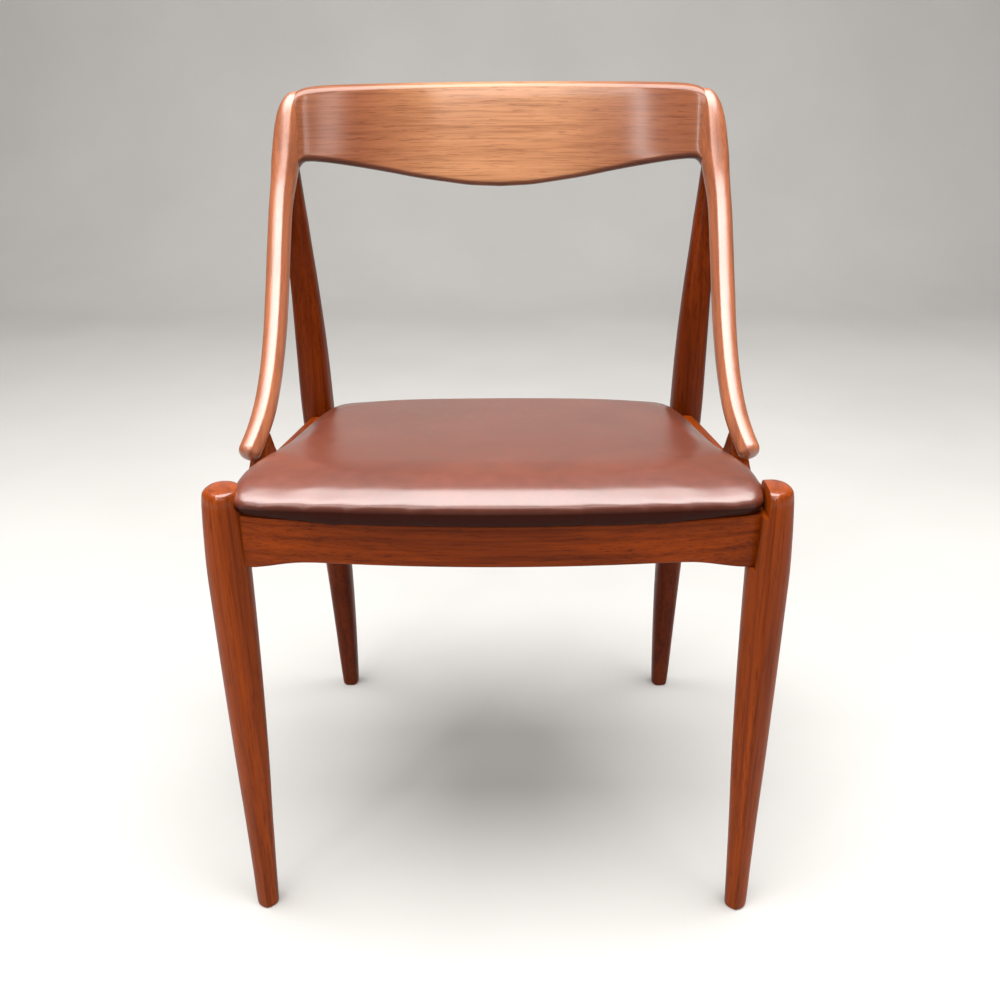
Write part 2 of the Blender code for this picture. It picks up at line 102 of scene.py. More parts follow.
ARM = (
    (0.2095, 0.3475, 0.7672, 0.0012, 0.0010),
    (0.2096, 0.3475, 0.7664, 0.0022, 0.0022),
    (0.2103, 0.3473, 0.7645, 0.0040, 0.0050),
    (0.2120, 0.3466, 0.7620, 0.0062, 0.0078),
    (0.2148, 0.3455, 0.7586, 0.0083, 0.0102),
    (0.2180, 0.3430, 0.7509, 0.0108, 0.0130),
    (0.2203, 0.3395, 0.7403, 0.0126, 0.0146),
    (0.2221, 0.3350, 0.7240, 0.0142, 0.0157),
    (0.2243, 0.3285, 0.7030, 0.0147, 0.0158),
    (0.2268, 0.3185, 0.6800, 0.0132, 0.0150),
    (0.2284, 0.3045, 0.6590, 0.0122, 0.0138),
    (0.2281, 0.2760, 0.6220, 0.0120, 0.0126),
    (0.2268, 0.2430, 0.5810, 0.0119, 0.0122),
    (0.2249, 0.2030, 0.5400, 0.0114, 0.0118),
    (0.2243, 0.1650, 0.5080, 0.0110, 0.0112),
    (0.2257, 0.1350, 0.4862, 0.0108, 0.0108),
    (0.2288, 0.1140, 0.4723, 0.0105, 0.0105),
    (0.2325, 0.0990, 0.4620, 0.0104, 0.0104),
)
# (y, outer x, thickness, bottom, rise over the seat's underside) of the right-hand side rail
SIDE_RAIL = (
    (0.0120, 0.2395, 0.0140, 0.3987, -0.0003),
    (0.0300, 0.2420, 0.0170, 0.3981, -0.0003),
    (0.0550, 0.2432, 0.0190, 0.3975, -0.0003),
    (0.0900, 0.2418, 0.0195, 0.3966, -0.0003),
    (0.1050, 0.2402, 0.0195, 0.3962, 0.0004),
    (0.1120, 0.2388, 0.0180, 0.3960, 0.0080),
    (0.1180, 0.2364, 0.0160, 0.3957, 0.0230),
    (0.1230, 0.2347, 0.0142, 0.3955, 0.0330),
    (0.1290, 0.2337, 0.0130, 0.3952, 0.0368),
    (0.1350, 0.2333, 0.0132, 0.3949, 0.0290),
    (0.1430, 0.2329, 0.0150, 0.3945, 0.0110),
    (0.1520, 0.2322, 0.0180, 0.3940, 0.0020),
    (0.1630, 0.2312, 0.0200, 0.3934, -0.0003),
    (0.1750, 0.2300, 0.0220, 0.3928, -0.0003),
    (0.2160, 0.2262, 0.0245, 0.3905, -0.0003),
    (0.2600, 0.2222, 0.0255, 0.3882, -0.0003),
    (0.3160, 0.2160, 0.0260, 0.3858, -0.0003),
)
# (x, bottom, top, half thickness) of the backrest
BACKREST = (
    (0.0000, 0.6668, 0.7734, 0.0074),
    (0.0300, 0.6682, 0.7734, 0.0074),
    (0.0600, 0.6722, 0.7733, 0.0075),
    (0.0900, 0.6772, 0.7732, 0.0077),
    (0.1200, 0.6836, 0.7730, 0.0080),
    (0.1500, 0.6898, 0.7727, 0.0083),
    (0.1800, 0.6955, 0.7722, 0.0087),
    (0.1920, 0.6973, 0.7715, 0.0089),
    (0.2000, 0.6981, 0.7705, 0.0091),
    (0.2045, 0.6980, 0.7694, 0.0092),
    (0.2080, 0.6960, 0.7680, 0.0093),
    (0.2105, 0.6930, 0.7665, 0.0094),
    (0.2130, 0.6890, 0.7642, 0.0095),
)
# half plan of the seat pad (x, y), from the middle of its front edge to the middle of its rear edge
PAD_PLAN = (
    (0.0000, -0.0345), (0.0500, -0.0335), (0.1000, -0.0305), (0.1500, -0.0260), (0.1850, -0.0222),
    (0.2060, -0.0200), (0.2195, -0.0165), (0.2268, -0.0095), (0.2298, 0.0010), (0.2308, 0.0150),
    (0.2308, 0.0300), (0.2295, 0.0450), (0.2268, 0.0620), (0.2215, 0.0900), (0.2148, 0.1300),
    (0.2090, 0.1800), (0.2045, 0.2250), (0.1995, 0.2650), (0.1928, 0.2950), (0.1790, 0.3115),
    (0.1350, 0.3180), (0.0900, 0.3217), (0.0450, 0.3242), (0.0000, 0.3250),
)
# levels of the pad before its cover is inflated: height over the underside, inset at the sides and
# rear, inset at the front
PAD_LEVELS = (
    (0.0000, 0.0330, 0.0330), (0.0000, 0.0072, 0.0120), (0.0009, 0.0050, 0.0078),
    (0.0036, 0.0040, 0.0050), (0.0072, 0.0033, 0.0030), (0.0108, 0.0029, 0.0022),
    (0.0142, 0.0028, 0.0028), (0.0165, 0.0030, 0.0048), (0.0190, 0.0034, 0.0092),
    (0.0217, 0.0047, 0.0138), (0.0245, 0.0069, 0.0190), (0.0272, 0.0101, 0.0285),
    (0.0298, 0.0148, 0.0430), (0.0317, 0.0200, 0.0580), (0.0328, 0.0255, 0.0690),
)
PAD_RINGS = 8           # rings across the underside, and across the top
BASE_THICK = 0.0080
PAD_THINNING = 1.90     # share of the pad's height over its base that is lost per metre rearwards
LIP_DROP, LIP_HEIGHT = 0.0105, 0.015   # how far the cover's front edge hangs, and how much of it
VOXEL, SIM_FRAMES, PRESSURE = 0.004, 15, 3.0
SWELL_CAP = 0.0036      # the furthest that the cover is moved by its inflation
DOWEL_R, DOWEL_SOFT = 0.0030, 0.0006
SHARP = 50              # edges sharper than this many degrees stay sharp

# section outlines: unit points, first on the outer side; the second number is the piece's depth
LEG_SECTION = ((1.0, 0.0), (0.84, 0.58), (0.45, 0.92), (0.0, 1.0), (-0.45, 0.92), (-0.84, 0.58),
               (-1.0, 0.0), (-0.90, -0.42), (-0.55, -0.76), (-0.22, -0.95), (-0.06, -1.0),
               (0.12, -0.95), (0.55, -0.76), (0.90, -0.42))
UPRIGHT_SECTION = ((1.0, 0.0), (0.92, 0.55), (0.62, 0.90), (0.0, 1.0), (-0.62, 0.90), (-0.92, 0.55),
                   (-1.0, 0.0), (-0.92, -0.55), (-0.62, -0.90), (0.0, -1.0), (0.62, -0.90),
                   (0.92, -0.55))
ARM_SECTION = ((1.0, 0.0), (0.88, 0.50), (0.56, 0.82), (0.15, 0.97), (-0.25, 1.0), (-0.44, 0.95),
               (-0.62, 0.76), (-0.90, 0.38), (-1.0, 0.0), (-0.88, -0.50), (-0.50, -0.86),
               (0.0, -1.0), (0.50, -0.86), (0.88, -0.50))


def seat_underside(y):
    """Height of the seat's underside, which falls to the rear."""
    return SEAT_Z - SEAT_FALL * y


# ---------------------------------------------------------------- mesh building


def slopes(t, values, monotone):
    """Slope at each station of a cubic through values, without overshoot if monotone."""
    gap = np.diff(t)
    chord = np.diff(values) / gap
    if monotone:
        same = chord[:-1] * chord[1:] > 0
        total = np.where(same, chord[:-1] + chord[1:], 1.0)
        inner = np.where(same, 2 * chord[:-1] * chord[1:] / total, 0.0)
    else:
        inner = (chord[:-1] * gap[1:] + chord[1:] * gap[:-1]) / (gap[:-1] + gap[1:])
    return np.concatenate([[chord[0]], inner, [chord[-1]]])


def smooth_rows(rows, step, spatial=3):
    """Rows of numbers read every step or so along a smooth curve through the given rows.

    The first spatial columns are places, and the others don't overshoot."""
    rows = np.array(rows, float)
    lengths = np.linalg.norm(np.diff(rows[:, :spatial], axis=0), axis=1)
    t = np.concatenate([[0.0], np.cumsum(lengths)])
    at = []
    for a, b in zip(t, t[1:]):
        at += list(np.linspace(a, b, max(2, int(math.ceil((b - a) / step))), endpoint=False))
    at.append(t[-1])
    at = np.array(at)
    i = np.clip(np.searchsorted(t, at, side="right") - 1, 0, len(t) - 2)
    gap = t[i + 1] - t[i]
    u = (at - t[i]) / gap
    columns = []
    for k in range(rows.shape[1]):
        m = slopes(t, rows[:, k], k >= spatial)
        columns.append((2 * u ** 3 - 3 * u ** 2 + 1) * rows[i, k]
                       + (u ** 3 - 2 * u ** 2 + u) * gap * m[i]
                       + (3 * u ** 2 - 2 * u ** 3) * rows[i + 1, k]
                       + (u ** 3 - u ** 2) * gap * m[i + 1])
    return np.stack(columns, axis=1)


def closed_curve(points, per):
    """Catmull-Rom curve through a closed loop of points, per points to each span."""
    p = np.array(points, float)
    out = []
    for i in range(len(p)):
        a, b, c, d = p[i - 1], p[i], p[(i + 1) % len(p)], p[(i + 2) % len(p)]
        for u in np.arange(per) / per:
            out.append(0.5 * (2 * b + (c - a) * u + (2 * a - 5 * b + 4 * c - d) * u * u
                              + (3 * b - a - 3 * c + d) * u ** 3))
    return np.array(out)


def shade(work, sharp):
    """Smooth faces, apart from edges sharper than the given angle in degrees, if one is given."""
    for face in work.faces:
        face.smooth = True
    if sharp:
        for edge in work.edges:
            edge.smooth = (len(edge.link_faces) == 2
                           and edge.calc_face_angle(0.0) < math.radians(sharp))


def mesh_object(name, work, sharp=None):
    """Object from a bmesh, with its edges sharper than the given angle left sharp."""
    bmesh.ops.recalc_face_normals(work, faces=work.faces)
    shade(work, sharp)
    mesh = bpy.data.meshes.new(name)
    work.to_mesh(mesh)
    work.free()
    obj = bpy.data.objects.new(name, mesh)
    bpy.context.scene.collection.objects.link(obj)
    return obj


def skin(name, rings, sharp=None):
    """Closed mesh through rings of points with equal counts."""
    work = bmesh.new()
    rows = [[work.verts.new(p) for p in ring] for ring in rings]
    count = len(rows[0])
    for lower, upper in zip(rows, rows[1:]):
        for k in range(count):
            j = (k + 1) % count
            work.faces.new((lower[k], lower[j], upper[j], upper[k]))
    work.faces.new(list(reversed(rows[0])))
    work.faces.new(rows[-1])
    return mesh_object(name, work, sharp)


def spine_rings(rows, section, side, ball=False, step=0.006):
    """Rings of a section along a spine; ball adds a half-round end."""
    section_points, ball_rings, ball_reach = 4, 10, 0.82
    rows = smooth_rows(rows, step)
    points = rows[:, :3] + np.array([0.0, SHIFT_Y, 0.0])
    halves = rows[:, 3:]
    tangents = np.gradient(points, axis=0)
    tangents /= np.linalg.norm(tangents, axis=1)[:, None]
    if ball:
        end, ahead, radius = points[-1], tangents[-1], halves[-1]
        for k in range(1, ball_rings + 1):
            angle = math.pi / 2 * k / (ball_rings + 0.3)
            points = np.vstack([points,
                                end + ahead * radius.mean() * ball_reach * math.sin(angle) ** 0.9])
            halves = np.vstack([halves, radius * math.cos(angle) ** 0.8])
            tangents = np.vstack([tangents, ahead])
    outline = closed_curve(section, section_points)
    rings = []
    for point, ahead, half in zip(points, tangents, halves):
        across = np.array([1.0, 0.0, 0.0]) - ahead * ahead[0]
        across /= np.linalg.norm(across)
        deep = np.cross(ahead, across)
        ring = point + outline[:, :1] * half[0] * across + outline[:, 1:] * half[1] * deep
        ring[:, 0] *= side
        rings.append(ring)
    return rings


def rounded_box_section(half_w, half_h, radius, arc=6, flats=5):
    """Rounded rectangle of half_w by half_h, counter-clockwise from the right side."""
    radius = min(radius, half_w * 0.98, half_h * 0.98)
    loop = []
    for quarter, (cx, cy) in enumerate(((1, 1), (-1, 1), (-1, -1), (1, -1))):
        centre = np.array([cx * (half_w - radius), cy * (half_h - radius)])
        for k in range(arc + 1):
            angle = math.pi / 2 * (quarter + k / arc)
            loop.append(centre + radius * np.array([math.cos(angle), math.sin(angle)]))
        following = ((-1, 1), (-1, -1), (1, -1), (1, 1))[quarter]
        target = np.array([following[0] * (half_w - radius), following[1] * (half_h - radius)])
        start_angle = math.pi / 2 * (quarter + 1)
        offset = radius * np.array([math.cos(start_angle), math.sin(start_angle)])
        for k in range(1, flats):
            loop.append((centre + offset) * (1 - k / flats) + (target + offset) * k / flats)
    return np.array(loop)


def apply_modifiers(obj):
    """Makes the evaluated mesh the object's own."""
    graph = bpy.context.evaluated_depsgraph_get()
    mesh = bpy.data.meshes.new_from_object(obj.evaluated_get(graph))
    obj.modifiers.clear()
    obj.data = mesh
    return obj


def boolean(obj, other, operation="DIFFERENCE"):
    """Cuts the other object off, or joins it on, and removes it."""
    modifier = obj.modifiers.new("boolean", "BOOLEAN")
    modifier.operation = operation
    modifier.solver = "EXACT"
    modifier.material_mode = "TRANSFER"
    modifier.object = other
    apply_modifiers(obj)
    bpy.data.objects.remove(other)
    return obj


def sharpen(obj, angle):
    """Smooth shading with the edges sharper than angle left sharp."""
    work = bmesh.new()
    work.from_mesh(obj.data)
    shade(work, angle)
    work.to_mesh(obj.data)
    work.free()
    return obj


def box_cutter(side, low, high):
    """Box between two corners, mirrored to its side. Y is measured from the front legs."""
    work = bmesh.new()
    bmesh.ops.create_cube(work, size=1.0)
    for vert in work.verts:
        vert.co = Vector([low[k] + (vert.co[k] + 0.5) * (high[k] - low[k]) for k in range(3)])
        vert.co.x *= side
        vert.co.y += SHIFT_Y
    return mesh_object("cutter", work)


def put(obj, slot, *nodes):
    """The piece rides on the chair and stands for the nodes, which it hides; slot is not used."""
    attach(obj, "root")
    if nodes:
        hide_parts(*nodes)
    return obj


def paint(obj, material):
    """Gives the piece this material alone."""
    obj.data.materials.clear()
    obj.data.materials.append(material)
    return obj


# ---------------------------------------------------------------- materials


class Nodes:
    """Short calls for building a material's nodes."""

    def __init__(self, name):
        self.material = bpy.data.materials.new(name)
        self.material.use_nodes = True
        self.tree = self.material.node_tree
        self.shader = self.tree.nodes["Principled BSDF"]

    def add(self, kind, **values):
        """Node with its settings; in_ stands before the name of an input socket."""
        node = self.tree.nodes.new("ShaderNode" + kind)
        for key, value in values.items():
            if key.startswith("in_"):
                node.inputs[key[3:].replace("_", " ")].default_value = value
            else:
                setattr(node, key, value)
        return node

    def link(self, source, target):
        self.tree.links.new(source, target)

    def plain(self):
        """Object coordinates as they are."""
        return self.coordinates((1.0, 1.0, 1.0))

    def parts(self, vector):
        """The X, Y and Z sockets of a vector, by name."""
        split = self.add("SeparateXYZ")
        self.link(vector, split.inputs["Vector"])
        return split.outputs

    def coordinates(self, scale, turn=(0.0, 0.0, 0.0), shift=(0.0, 0.0, 0.0), bend=0.0):
        """Stretched object coordinates; bend straightens a bow of y = bend * x * x first."""
        where = self.add("TexCoord").outputs["Object"]
        if bend:
            place, join = self.parts(where), self.add("CombineXYZ")
            square = self.math("MULTIPLY", place["X"], place["X"])
            self.link(place["X"], join.inputs["X"])
            self.link(self.math("SUBTRACT", place["Y"], self.math("MULTIPLY", square, bend)),
                      join.inputs["Y"])
            self.link(place["Z"], join.inputs["Z"])
            where = join.outputs["Vector"]
        mapping = self.add("Mapping", vector_type="TEXTURE")
        mapping.inputs["Rotation"].default_value = turn
        mapping.inputs["Location"].default_value = shift
        stretch = self.add("Mapping")
        stretch.inputs["Scale"].default_value = scale
        self.link(where, mapping.inputs["Vector"])
        self.link(mapping.outputs["Vector"], stretch.inputs["Vector"])
        return stretch.outputs["Vector"]

    def noise(self, vector, scale, detail=4.0, rough=0.5, distortion=0.0):
        node = self.add("TexNoise", in_Scale=scale, in_Detail=detail, in_Roughness=rough,
                        in_Distortion=distortion)
        self.link(vector, node.inputs["Vector"])
        return node.outputs["Fac"]

    def ramp(self, source, *stops):
        node = self.add("ValToRGB")
        for _ in range(len(stops) - 2):
            node.color_ramp.elements.new(0.5)
        for element, (position, colour) in zip(node.color_ramp.elements, stops):
            element.position = position
            element.color = (*colour, 1.0)
        self.link(source, node.inputs["Fac"])
        return node.outputs["Color"]

    def span(self, source, low, high, new_low, new_high):
        """The source stretched from low..high to new_low..new_high, and held there beyond."""
        node = self.add("MapRange")
        limits = {"From Min": low, "From Max": high, "To Min": new_low, "To Max": new_high}
        for key, value in limits.items():
            node.inputs[key].default_value = value
        self.link(source, node.inputs["Value"])
        return node.outputs["Result"]

    def mix(self, factor, a, b, blend="MIX"):
        node = self.add("Mix", data_type="RGBA", blend_type=blend)
        if isinstance(factor, float):
            node.inputs["Factor"].default_value = factor
        else:
            self.link(factor, node.inputs["Factor"])
        for value, socket in ((a, node.inputs[6]), (b, node.inputs[7])):
            if isinstance(value, tuple):
                socket.default_value = (*value, 1.0)
            else:
                self.link(value, socket)
        return node.outputs[2]

    def math(self, operation, a, b):
        node = self.add("Math", operation=operation)
        for value, socket in ((a, node.inputs[0]), (b, node.inputs[1])):
            if isinstance(value, float):
                socket.default_value = value
            else:
                self.link(value, socket)
        return node.outputs[0]

    def bump(self, *layers):
        """layers are (height, strength, distance)."""
        normal = None
        for height, strength, distance in layers:
            node = self.add("Bump", in_Strength=strength, in_Distance=distance)
            self.link(height, node.inputs["Height"])
            if normal is not None:
                self.link(normal, node.inputs["Normal"])
            normal = node.outputs["Normal"]
        self.link(normal, self.shader.inputs["Normal"])

    def finish(self, **values):
        """Sets the shader's own sockets and gives the material."""
        for key, value in values.items():
            self.shader.inputs[key.replace("_", " ")].default_value = value
        return self.material


def blend(a, b, share):
    """Colour between two colours."""
    return tuple(p * (1 - share) + q * share for p, q in zip(a, b))


# turn of the grain's space for each direction that the grain runs in
GRAIN_ALONG = {"x": (0.0, math.radians(90), 0.0), "y": (math.radians(90), 0.0, 0.0),
               "z": (0.0, 0.0, 0.0), "arm": (math.radians(-40), 0.0, 0.0)}
# how far the wood's marks are drawn out along the grain
FIGURE_STRETCH, FIBRE_STRETCH = 0.045, 0.024


def wood(name, along, shift, dark, light, line=0.3, streak=0.6, gloss=(0.36, 0.05, 0.2, 1.6),
         bend=0.0, ends=None, worn_top=None):
    """Oiled teak: soft growth figure, thin growth lines, fibre streaks and short dark pores.

    gloss is (roughness, coat, coat roughness, coat IOR); bend follows a bow of the piece; ends is
    (from x, to x, tint): painted shade that darkens the colour towards both ends of the piece, and a
    piece with ends also gets painted shade on its faces that point downwards; worn_top is (from z,
    to z), where the top end has been polished by hands."""
    n = Nodes(name)
    turn = GRAIN_ALONG[along]
    figure = n.coordinates((1.0, 1.0, FIGURE_STRETCH), turn, shift, bend)
    fibre = n.coordinates((1.0, 1.0, FIBRE_STRETCH), turn, shift, bend)
    broad = n.noise(figure, 42.0, 3.0, 0.55, 0.6)
    streaks = n.noise(fibre, 420.0, 5.0, 0.68)
    lines = n.add("TexWave", wave_type="BANDS", bands_direction="X", in_Scale=26.0,
                  in_Distortion=9.0, in_Detail=2.5, in_Detail_Scale=1.1, in_Detail_Roughness=0.65)
    n.link(figure, lines.inputs["Vector"])
    base = n.ramp(broad, (0.30, blend(dark, light, 0.45)), (0.50, blend(dark, light, 0.75)),
                  (0.68, light))
    lined = n.mix(n.span(lines.outputs["Fac"], 0.02, 0.34, line, 0.0), base, dark)
    fine = n.ramp(streaks, (0.34, (0.48, 0.38, 0.32)), (0.50, (0.94, 0.92, 0.90)),
                  (0.66, (1.18, 1.16, 1.14)))
    coloured = n.mix(streak, lined, fine, "MULTIPLY")
    pores = n.span(n.noise(figure, 900.0, 2.0, 0.5), 0.33, 0.40, 1.0, 0.0)
    final = n.mix(n.math("MULTIPLY", pores, 0.5), coloured, blend((0.0, 0.0, 0.0), dark, 0.6))
    # painted shade: the colour is darkened towards both ends of the piece
    if ends:
        from_x, to_x, end_shade_tint = ends
        end_shade_reach = n.span(n.math("ABSOLUTE", n.parts(n.plain())["X"], 0.0), from_x, to_x, 0.0, 1.0)
        final = n.mix(end_shade_reach, final, n.mix(1.0, final, end_shade_tint, "MULTIPLY"))
        # painted shade: faces that point downwards are painted darker
        facing = n.parts(n.add("NewGeometry").outputs["Normal"])
        under = n.span(facing["Z"], 0.10, -0.14, 0.0, 0.85)
        final = n.mix(under, final, n.mix(1.0, final, (0.34, 0.20, 0.14), "MULTIPLY"))
    n.link(final, n.shader.inputs["Base Color"])
    roughness, coat, coat_roughness, coat_ior = gloss
    if worn_top:
        n.link(n.span(n.parts(n.plain())["Z"], *worn_top, coat, 0.9),
               n.shader.inputs["Coat Weight"])
    n.link(n.span(broad, 0.3, 0.7, roughness + 0.06, roughness - 0.05),
           n.shader.inputs["Roughness"])
    n.bump((pores, -0.25, 0.0003), (streaks, 0.10, 0.0005))
    return n.finish(Coat_Weight=coat, Coat_Roughness=coat_roughness, Coat_IOR=coat_ior, IOR=1.5,
                    Specular_IOR_Level=0.07)


def plain_wood(name, along, shift, light, dark):
    """Unfinished pale wood for dowels, blocks and plywood."""
    n = Nodes(name)
    fibre = n.coordinates((1.0, 1.0, 0.05), GRAIN_ALONG[along], shift)
    streaks = n.noise(fibre, 160.0, 6.0, 0.6)
    broad = n.noise(fibre, 25.0, 3.0, 0.5)
    base = n.ramp(n.math("ADD", n.math("MULTIPLY", streaks, 0.5), n.math("MULTIPLY", broad, 0.5)),
                  (0.3, dark), (0.7, light))
    n.link(base, n.shader.inputs["Base Color"])
    n.link(n.span(streaks, 0.3, 0.7, 0.55, 0.75), n.shader.inputs["Roughness"])
    n.bump((streaks, 0.3, 0.0006))
    return n.finish()


def leather():
    """Smooth reddish-brown seat leather: a fine pebbled grain, faint creases and a soft gloss.

    Its lower edge is painted dark as shade and has no gloss, in a band that narrows towards the
    rear."""
    edge_fall, edge_low, edge_high, gloss_high = 0.090, 0.0078, 0.0152, 0.0147
    n = Nodes("seat_leather_look")
    flat = n.plain()
    cloud = n.noise(flat, 8.0, 3.0, 0.55, 0.3)
    mottle = n.noise(flat, 85.0, 4.0, 0.65)
    tone = n.math("ADD", n.math("MULTIPLY", cloud, 0.55), n.math("MULTIPLY", mottle, 0.45))
    base = n.ramp(tone, (0.36, (0.094, 0.022, 0.011)), (0.52, (0.126, 0.030, 0.016)),
                  (0.68, (0.165, 0.042, 0.023)))
    pebble = n.add("TexVoronoi", feature="SMOOTH_F1", in_Scale=560.0)
    pebble.inputs["Smoothness"].default_value = 0.6
    n.link(flat, pebble.inputs["Vector"])
    creases = n.noise(n.coordinates((0.30, 1.0, 1.0), (0.0, 0.0, 0.06)), 48.0, 3.0, 0.55, 0.8)
    wide = n.noise(n.coordinates((0.55, 1.0, 1.0), (0.0, 0.0, -0.05)), 12.0, 2.0, 0.5, 0.3)
    worn = n.mix(n.span(pebble.outputs["Distance"], 0.0, 0.7, 0.0, 0.25), base,
                 (0.085, 0.020, 0.010))
    place = n.parts(flat)
    height = n.math("ADD", place["Z"], n.math("MULTIPLY", place["Y"], edge_fall))
    foot = SEAT_Z + edge_fall * SHIFT_Y
    # painted shade: the cover's lower edge is painted near-black, and its coat is taken away there
    edge = n.span(height, foot + edge_low, foot + edge_high, 0.98, 0.0)
    n.link(n.mix(edge, worn, (0.022, 0.003, 0.001)), n.shader.inputs["Base Color"])
    n.link(n.span(height, foot + edge_low, foot + gloss_high, 0.0, 0.88),
           n.shader.inputs["Coat Weight"])
    n.link(n.span(mottle, 0.3, 0.7, 0.34, 0.46), n.shader.inputs["Roughness"])
    n.bump((pebble.outputs["Distance"], -0.10, 0.0004), (creases, 0.10, 0.0008),
           (wide, 0.07, 0.0030))
    return n.finish(Coat_Roughness=0.29, Coat_IOR=1.72, IOR=1.5, Specular_IOR_Level=0.08)


def woven(name, dark, light):
    """Thin cloth of crossed threads."""
    n = Nodes(name)
    flat = n.plain()
    weaves = []
    for direction in ("X", "Y"):
        wave = n.add("TexWave", wave_type="BANDS", bands_direction=direction, in_Scale=260.0,
                     in_Distortion=0.4, in_Detail=1.0)
        n.link(flat, wave.inputs["Vector"])
        weaves.append(wave.outputs["Fac"])
    thread = n.math("MULTIPLY", weaves[0], weaves[1])
    n.link(n.ramp(thread, (0.1, dark), (0.8, light)), n.shader.inputs["Base Color"])
    n.link(n.span(n.noise(flat, 30.0), 0.3, 0.7, 0.82, 0.95), n.shader.inputs["Roughness"])
    n.bump((thread, 0.5, 0.0005))
    return n.finish()


def steel(name):
    """Zinc-plated steel with a fine spangle."""
    n = Nodes(name)
    spots = n.noise(n.plain(), 400.0, 4.0, 0.6)
    n.link(n.ramp(spots, (0.35, (0.32, 0.31, 0.29)), (0.65, (0.62, 0.61, 0.58))),
           n.shader.inputs["Base Color"])
    n.link(n.span(spots, 0.3, 0.7, 0.28, 0.50), n.shader.inputs["Roughness"])
    n.bump((spots, 0.1, 0.0002))
    return n.finish(Metallic=1.0)


def stage_look():
    """Plain pale studio floor with barely visible mottling."""
    n = Nodes("stage_look")
    mottle = n.noise(n.plain(), 2.5, 3.0, 0.5)
    n.link(n.ramp(mottle, (0.3, (0.47, 0.46, 0.445)), (0.7, (0.50, 0.49, 0.475))),
           n.shader.inputs["Base Color"])
    return n.finish(Roughness=0.85)


# ---------------------------------------------------------------- wood pieces


def front_leg(name, side, material):
    """Leg notched for the front rail, with a ledge level with the rail's top."""
    inner, front, rear, high = 0.15, -0.04, 0.05, 0.50    # the cutters' sides away from the joint
    notch_low, ledge = RAIL_END_BOTTOM - 0.0003, RAIL_TOP + 0.0004
    middle = (RAIL_TOP + RAIL_END_BOTTOM) / 2
    edge = 0.0006
    leg = skin(name, spine_rings(FRONT_LEG, LEG_SECTION, side))
    notch = box_cutter(side, (inner, front, notch_low), (RAIL_JOINT_X, rear, high))
    for vert in notch.data.vertices:
        vert.co.x += side * RAIL_JOINT_SLOPE * (min(vert.co.z, RAIL_TOP) - middle)
    boolean(leg, notch)
    boolean(leg, box_cutter(side, (inner, front, ledge), (CHEEK_X, rear, high)))
    soften = leg.modifiers.new("edges", "BEVEL")
    soften.width, soften.segments, soften.limit_method = edge, 2, "ANGLE"
    soften.angle_limit = math.radians(40)
    apply_modifiers(leg)
    return put(paint(sharpen(leg, SHARP), material), "leg_wood", name.replace("_shape", ""))


def rear_leg(name, side, material):
    """Rear leg up to the foot of the arm's stub."""
    leg = skin(name, spine_rings(REAR_LEG, UPRIGHT_SECTION, side), SHARP)
    return put(paint(leg, material), "leg_wood", name.replace("_shape", ""))


def arm(name, side, material, stub_material):
    """Arm with the stub that carries the rear leg's line up into its head."""
    main = paint(skin(name, spine_rings(ARM, ARM_SECTION, side, ball=True, step=0.005)), material)
    stub = paint(skin("stub", spine_rings(ARM_STUB, UPRIGHT_SECTION, side)), stub_material)
    boolean(main, stub, "UNION")
    return put(sharpen(main, 40), "arm_wood", name.replace("_shape", ""))


def side_rail(name, side, material):
    """Side rail with the horn that the arm stands on."""
    rings = []
    for y, outer, thick, bottom, rise in smooth_rows(SIDE_RAIL, 0.004, 1):
        top = seat_underside(y) + rise
        outline = rounded_box_section(thick / 2, (top - bottom) / 2, 0.0042)
        rings.append([(side * (outer - thick / 2 + u), y + SHIFT_Y, (top + bottom) / 2 + v)
                      for u, v in outline])
    return put(paint(skin(name, rings, SHARP), material), "rail_wood", name.replace("_shape", ""))


def front_rail(name, material):
    """Bowed front rail, deeper at its ends, where it leans with the notch of the leg."""
    joint_gap, lean_from = 0.0003, 0.19
    table = ((-RAIL_JOINT_X + joint_gap, RAIL_END_BOTTOM), (-0.2150, 0.3930), (-0.2020, 0.3950),
             (-0.1900, 0.3975), (-0.1780, 0.3999), (-0.1660, 0.4014), (-0.1500, 0.4021),
             (-0.1000, 0.4023), (0.0, 0.4024))       # (x, bottom)
    table += tuple((-x, bottom) for x, bottom in reversed(table[:-1]))
    rings = []
    for x, bottom in smooth_rows(table, 0.006, 1):
        middle = rail_face(x) + SHIFT_Y + RAIL_THICK / 2
        outline = rounded_box_section(RAIL_THICK / 2, (RAIL_TOP - bottom) / 2, 0.0022)
        near_end = max(abs(x) - lean_from, 0.0) / (RAIL_JOINT_X - lean_from)
        lean = RAIL_JOINT_SLOPE * math.copysign(near_end, x)
        rings.append([(x + lean * v, middle + u, (RAIL_TOP + bottom) / 2 + v) for u, v in outline])
    return put(paint(skin(name, rings, SHARP), material), "rail_wood", "front_rail")


def rear_rail(name, material):
    """Straight rail between the rear legs, let a little into them."""
    low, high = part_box("rear_rail")
    tenon, edge, stations = 0.003, 0.0025, 40
    outline = rounded_box_section((high.y - low.y) / 2, (high.z - low.z) / 2, edge)
    rings = [[(x, (low.y + high.y) / 2 + u, (low.z + high.z) / 2 + v) for u, v in outline]
             for x in np.linspace(low.x - tenon, high.x + tenon, stations)]
    return put(paint(skin(name, rings, SHARP), material), "rail_wood", "rear_rail")


